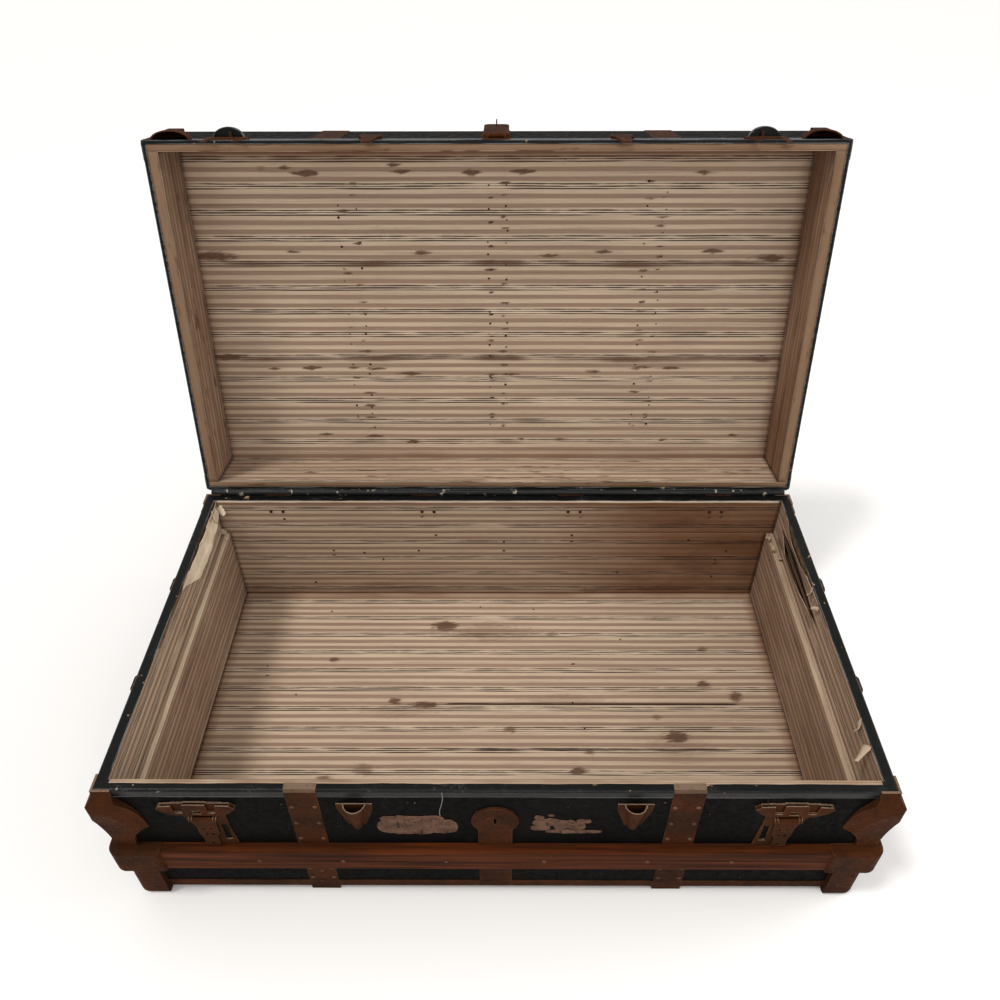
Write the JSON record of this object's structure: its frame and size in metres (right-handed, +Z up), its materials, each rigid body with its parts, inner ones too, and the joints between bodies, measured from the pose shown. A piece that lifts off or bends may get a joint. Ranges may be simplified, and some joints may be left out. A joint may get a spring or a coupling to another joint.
{
  "type": "steamer trunk",
  "caption": "Flat-topped canvas-covered travel trunk with a back-hinged lid, hardwood slats, steel corner caps, side latches, a hasp lock and leather end handles.",
  "frame": {"origin": "on the ground at the middle of the underside of the centre runner", "axes": "+X to the trunk's right seen from its front, +Y to its back where the hinges are, +Z up"},
  "size_m": [0.946, 0.7384, 0.7609],
  "materials": {
    "pine": "raw pine board",
    "painted_canvas": "canvas under worn black paint",
    "lining_paper": "aged striped lining paper, matt",
    "black_binding": "black japanned steel, worn at the edge",
    "rusted_steel": "dark brown rusted steel, matt",
    "plain_steel": "dull tarnished steel",
    "slat_wood": "orange-brown hardwood, old varnish",
    "leather": "dark brown leather, worn"
  },
  "bodies": {
    "base": {"back_joint_strips": "painted_canvas", "back_slat": "slat_wood", "base_back_board": "pine", "base_bands": "rusted_steel", "base_bottom_binding": "rusted_steel", "base_canvas": "painted_canvas", "base_end_boards": "pine", "base_floor_lining": "lining_paper", "base_floor_planks": "pine", "base_front_board": "pine", "base_nails": "plain_steel", "base_rim_binding": "black_binding", "base_wall_lining": "lining_paper", "bottom_corner_caps": "rusted_steel", "centre_runner": "pine", "dowel_sockets": "rusted_steel", "end_slats": "slat_wood", "front_slat": "slat_wood", "handle_loops": "rusted_steel", "handle_pins": "plain_steel", "hinge_base_leaves": "rusted_steel", "hinge_pins": "plain_steel", "latch_pins": "plain_steel", "left_latch_plate": "rusted_steel", "lock_band": "rusted_steel", "lock_case": "plain_steel", "lock_plate": "rusted_steel", "outer_runners": "pine", "right_latch_plate": "rusted_steel", "rim_corner_caps": "rusted_steel", "slat_corner_bumpers": "rusted_steel", "tray_rest_boards": "pine"},
    "lid": {"lid_front_board": "pine", "lid_back_board": "pine", "lid_end_boards": "pine", "lid_top_planks": "pine", "lid_canvas": "painted_canvas", "lid_rim_binding": "black_binding", "lid_wall_lining": "lining_paper", "lid_top_lining": "lining_paper", "lid_bands": "rusted_steel", "lid_slats": "slat_wood", "lid_slat_clamps": "rusted_steel", "lid_rim_corner_caps": "rusted_steel", "lid_top_corner_caps": "rusted_steel", "lid_catches": "rusted_steel", "catch_domes": "black_binding", "dowel_tongues": "rusted_steel", "hinge_lid_leaves": "rusted_steel", "hasp_leaf": "rusted_steel", "hasp_pin": "plain_steel", "lid_nails": "plain_steel"},
    "left_latch_lever": {"left_latch_lever": "rusted_steel"},
    "right_latch_lever": {"right_latch_lever": "rusted_steel"},
    "hasp": {"hasp": "rusted_steel"},
    "lock_bolt": {"lock_bolt": "plain_steel"},
    "left_handle": {"left_handle": "leather"},
    "right_handle": {"right_handle": "leather"}
  },
  "joints": [
    {"name": "lid_swing", "type": "hinge", "parent": "base", "child": "lid", "pos_m": [0, 0.2614, 0.2406], "axis": [-1, 0, 0], "range_deg": [-101.5, 0]},
    {"name": "left_lever_swing", "type": "hinge", "parent": "base", "child": "left_latch_lever", "pos_m": [-0.342, -0.262, 0.1846], "axis": [1, 0, 0], "range_deg": [-180, 0]},
    {"name": "right_lever_swing", "type": "hinge", "parent": "base", "child": "right_latch_lever", "pos_m": [0.342, -0.262, 0.1846], "axis": [1, 0, 0], "range_deg": [-180, 0]},
    {"name": "hasp_swing", "type": "hinge", "parent": "lid", "child": "hasp", "pos_m": [0, 0.37476, 0.75064], "axis": [-1, 0, 0], "range_deg": [-178, 0]},
    {"name": "bolt_slide", "type": "slide", "parent": "base", "child": "lock_bolt", "axis": [-1, 0, 0], "range_m": [-0.006, 0]},
    {"name": "left_handle_swing", "type": "hinge", "parent": "base", "child": "left_handle", "pos_m": [-0.467, 0, 0.178], "axis": [0, 1, 0], "range_deg": [0, 80]},
    {"name": "right_handle_swing", "type": "hinge", "parent": "base", "child": "right_handle", "pos_m": [0.467, 0, 0.178], "axis": [0, -1, 0], "range_deg": [0, 80]}
  ]
}
